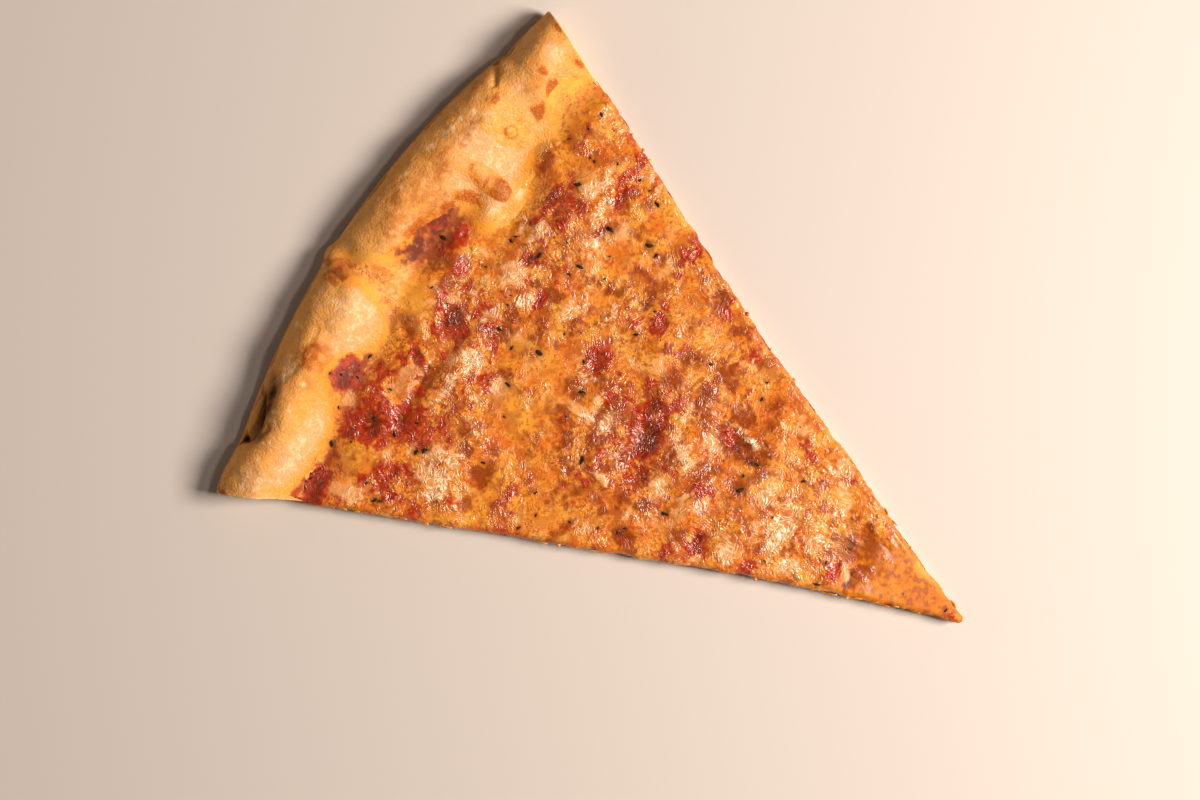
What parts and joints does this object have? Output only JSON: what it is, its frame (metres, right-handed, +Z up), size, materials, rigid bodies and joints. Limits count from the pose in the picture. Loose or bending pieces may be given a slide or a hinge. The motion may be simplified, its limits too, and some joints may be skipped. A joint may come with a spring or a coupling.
{
  "type": "cheese pizza slice",
  "caption": "Wide thin slice of baked cheese pizza with a puffed rim, tomato sauce, melted browned cheese and dried herb flakes.",
  "frame": {"origin": "middle of the bounding box of the slice seen from above, on the flat underside", "axes": "+Y from the tip towards the rim, +X to the right with the tip towards the viewer, +Z up"},
  "size_m": [0.1894, 0.2372, 0.0181],
  "materials": {
    "crust": "baked dough, pale and floury on the rim, toasted brown on its outer face and in spots",
    "sauce": "cooked tomato sauce, wet",
    "cheese": "melted cheese, oily and wrinkled, golden with browned and pale patches, with black-green herb flakes"
  },
  "bodies": {
    "root": {"crust": "crust", "sauce": "sauce", "cheese": "cheese"}
  },
  "joints": []
}
